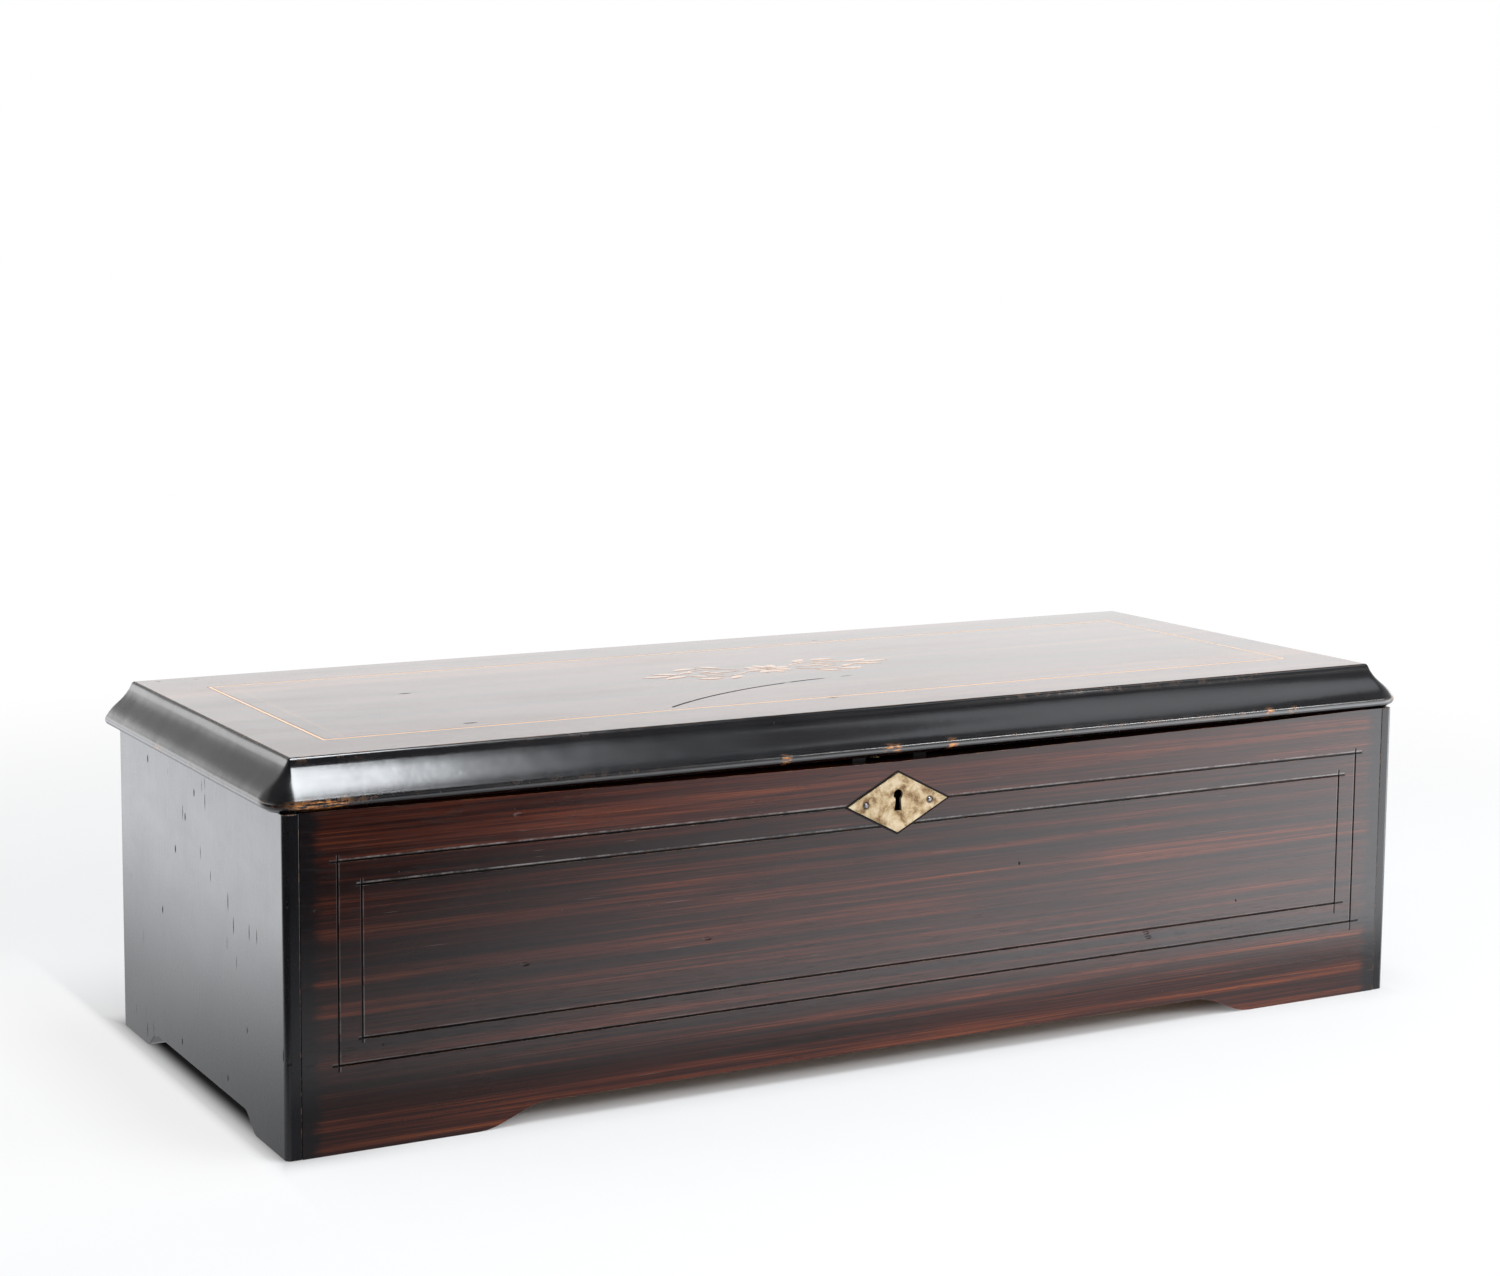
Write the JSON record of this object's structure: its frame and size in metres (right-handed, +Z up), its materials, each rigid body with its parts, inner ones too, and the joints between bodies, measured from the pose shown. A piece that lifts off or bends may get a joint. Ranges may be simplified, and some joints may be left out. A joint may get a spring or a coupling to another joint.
{
  "type": "cylinder music box",
  "caption": "Long wooden music box with a moulded, inlaid lid, glass inner lid, key-wound barrel, pinned cylinder, steel comb and fan governor.",
  "frame": {"origin": "centre of the overall box's underside, on the surface that the case stands on", "axes": "+X along the front to the right, +Y from the front to the back, +Z up"},
  "size_m": [0.5152, 0.202, 0.143],
  "materials": {
    "black_wood": "ebonised, shellac polish",
    "rosewood": "grained rosewood, shellac polish",
    "lid_veneer": "rosewood veneer, high polish",
    "pine": "bare softwood",
    "inner_wood": "stained, waxed",
    "boxwood": "inlaid line under polish",
    "old_brass": "tarnished brass",
    "brass": "satin brass",
    "gilt_iron": "bronze paint on cast iron",
    "steel": "polished steel",
    "blued_steel": "blued steel",
    "lead": "dull lead",
    "glass": "clear pane"
  },
  "bodies": {
    "case": {"end_left": "black_wood", "end_right": "black_wood", "front_board": "rosewood", "back_board": "black_wood", "bottom_board": "pine", "glue_blocks": "pine", "escutcheon": "old_brass", "escutcheon_pins": "steel", "lock_case": "brass", "partition_left": "inner_wood", "partition_right": "inner_wood", "glass_ledges": "inner_wood", "case_hinge_leaves": "brass", "hinge_pins": "steel", "bedplate": "gilt_iron", "bedplate_bolts": "blued_steel", "comb_base": "brass", "comb": "steel", "comb_weights": "lead", "comb_screws": "blued_steel", "barrel_bridge_left": "brass", "barrel_bridge_right": "brass", "arbor_bracket_left": "brass", "arbor_bracket_right": "brass", "governor_frame": "brass", "bridge_screws": "blued_steel", "control_plates": "brass", "click_spring": "blued_steel", "glass_hinges": "steel"},
    "lid": {"lid_board": "lid_veneer", "lid_moulding_front": "black_wood", "lid_moulding_left": "black_wood", "lid_moulding_right": "black_wood", "lid_inlay_line": "boxwood", "lid_hinge_leaves": "brass", "lock_keeper": "brass"},
    "lock_bolt": {"lock_bolt": "steel"},
    "glass_lid": {"glass_lid_frame": "black_wood", "glass_pane": "glass", "glass_lid_knob": "brass"},
    "winding": {"winding_arbor": "steel", "ratchet_wheel": "steel"},
    "key": {"key": "old_brass"},
    "click": {"click": "steel"},
    "barrel": {"barrel_drum": "brass", "barrel_cap": "brass", "barrel_wheel": "brass", "mainspring": "blued_steel", "stopwork_star": "steel"},
    "cylinder_arbor": {"cylinder_arbor": "steel", "great_wheel": "brass"},
    "cylinder": {"cylinder_sleeve": "brass", "cylinder_heads": "brass", "cylinder_pins": "steel"},
    "snail": {"tune_snail": "steel"},
    "governor_first": {"governor_first_arbor": "brass"},
    "governor_second": {"governor_second_arbor": "brass"},
    "fan": {"fan_spindle": "steel"},
    "start_stop_lever": {"start_stop_lever": "brass"},
    "change_lever": {"change_lever": "brass"}
  },
  "joints": [
    {"name": "lid_hinge", "type": "hinge", "parent": "case", "child": "lid", "pos_m": [0, 0.09885, 0.125], "axis": [-1, 0, 0], "range_deg": [0, 100]},
    {"name": "glass_lid_hinge", "type": "hinge", "parent": "case", "child": "glass_lid", "pos_m": [0, 0.07545, 0.115], "axis": [-1, 0, 0], "range_deg": [0, 85.5]},
    {"name": "lock_bolt_slide", "type": "slide", "parent": "case", "child": "lock_bolt", "axis": [1, 0, 0], "range_m": [0, 0.004]},
    {"name": "winding_turn", "type": "hinge", "parent": "case", "child": "winding", "pos_m": [-0.14, -0.01465, 0.07101], "axis": [1, 0, 0], "range_deg": [0, 1800]},
    {"name": "key_pull", "type": "slide", "parent": "winding", "child": "key", "axis": [-1, 0, 0], "range_m": [0, 0.009]},
    {"name": "click_rock", "type": "hinge", "parent": "case", "child": "click", "pos_m": [-0.1693, 0.00136, 0.05701], "axis": [-1, 0, 0], "range_deg": [0, 8], "stiffness_Nm_per_rad": 0.02},
    {"name": "cylinder_turn", "type": "hinge", "parent": "case", "child": "cylinder_arbor", "pos_m": [0, 0.02845, 0.068], "axis": [1, 0, 0], "continuous": true},
    {"name": "barrel_turn", "type": "hinge", "parent": "case", "child": "barrel", "pos_m": [-0.14, -0.01465, 0.07101], "axis": [1, 0, 0], "continuous": true},
    {"name": "tune_shift", "type": "slide", "parent": "cylinder_arbor", "child": "cylinder", "axis": [-1, 0, 0], "range_m": [0, 0.00245], "stiffness_N_per_m": 400},
    {"name": "snail_turn", "type": "hinge", "parent": "cylinder_arbor", "child": "snail", "pos_m": [0.141, 0.02845, 0.082], "axis": [1, 0, 0], "range_deg": [0, 316]},
    {"name": "governor_first_turn", "type": "hinge", "parent": "case", "child": "governor_first", "pos_m": [0.15, 0.00145, 0.068], "axis": [1, 0, 0], "continuous": true},
    {"name": "governor_second_turn", "type": "hinge", "parent": "case", "child": "governor_second", "pos_m": [0.155, -0.01078, 0.07371], "axis": [1, 0, 0], "continuous": true},
    {"name": "fan_turn", "type": "hinge", "parent": "case", "child": "fan", "pos_m": [0.1574, -0.02189, 0.08], "axis": [0, 0, 1], "continuous": true},
    {"name": "start_stop_swing", "type": "hinge", "parent": "case", "child": "start_stop_lever", "pos_m": [0.18, -0.03488, 0.0747], "axis": [-1, 0, 0], "range_deg": [0, 14]},
    {"name": "change_swing", "type": "hinge", "parent": "case", "child": "change_lever", "pos_m": [0.18, 0.05845, 0.068], "axis": [1, 0, 0], "range_deg": [0, 12]}
  ],
  "couplings": [
    {"joint": "glass_lid_hinge", "follows": "lid_hinge", "ratio": 0.85},
    {"joint": "barrel_turn", "follows": "cylinder_turn", "ratio": -0.2},
    {"joint": "governor_first_turn", "follows": "cylinder_turn", "ratio": -8},
    {"joint": "governor_second_turn", "follows": "cylinder_turn", "ratio": 40},
    {"joint": "fan_turn", "follows": "cylinder_turn", "ratio": 960},
    {"joint": "snail_turn", "follows": "tune_shift", "rad_per_m": 2244}
  ]
}
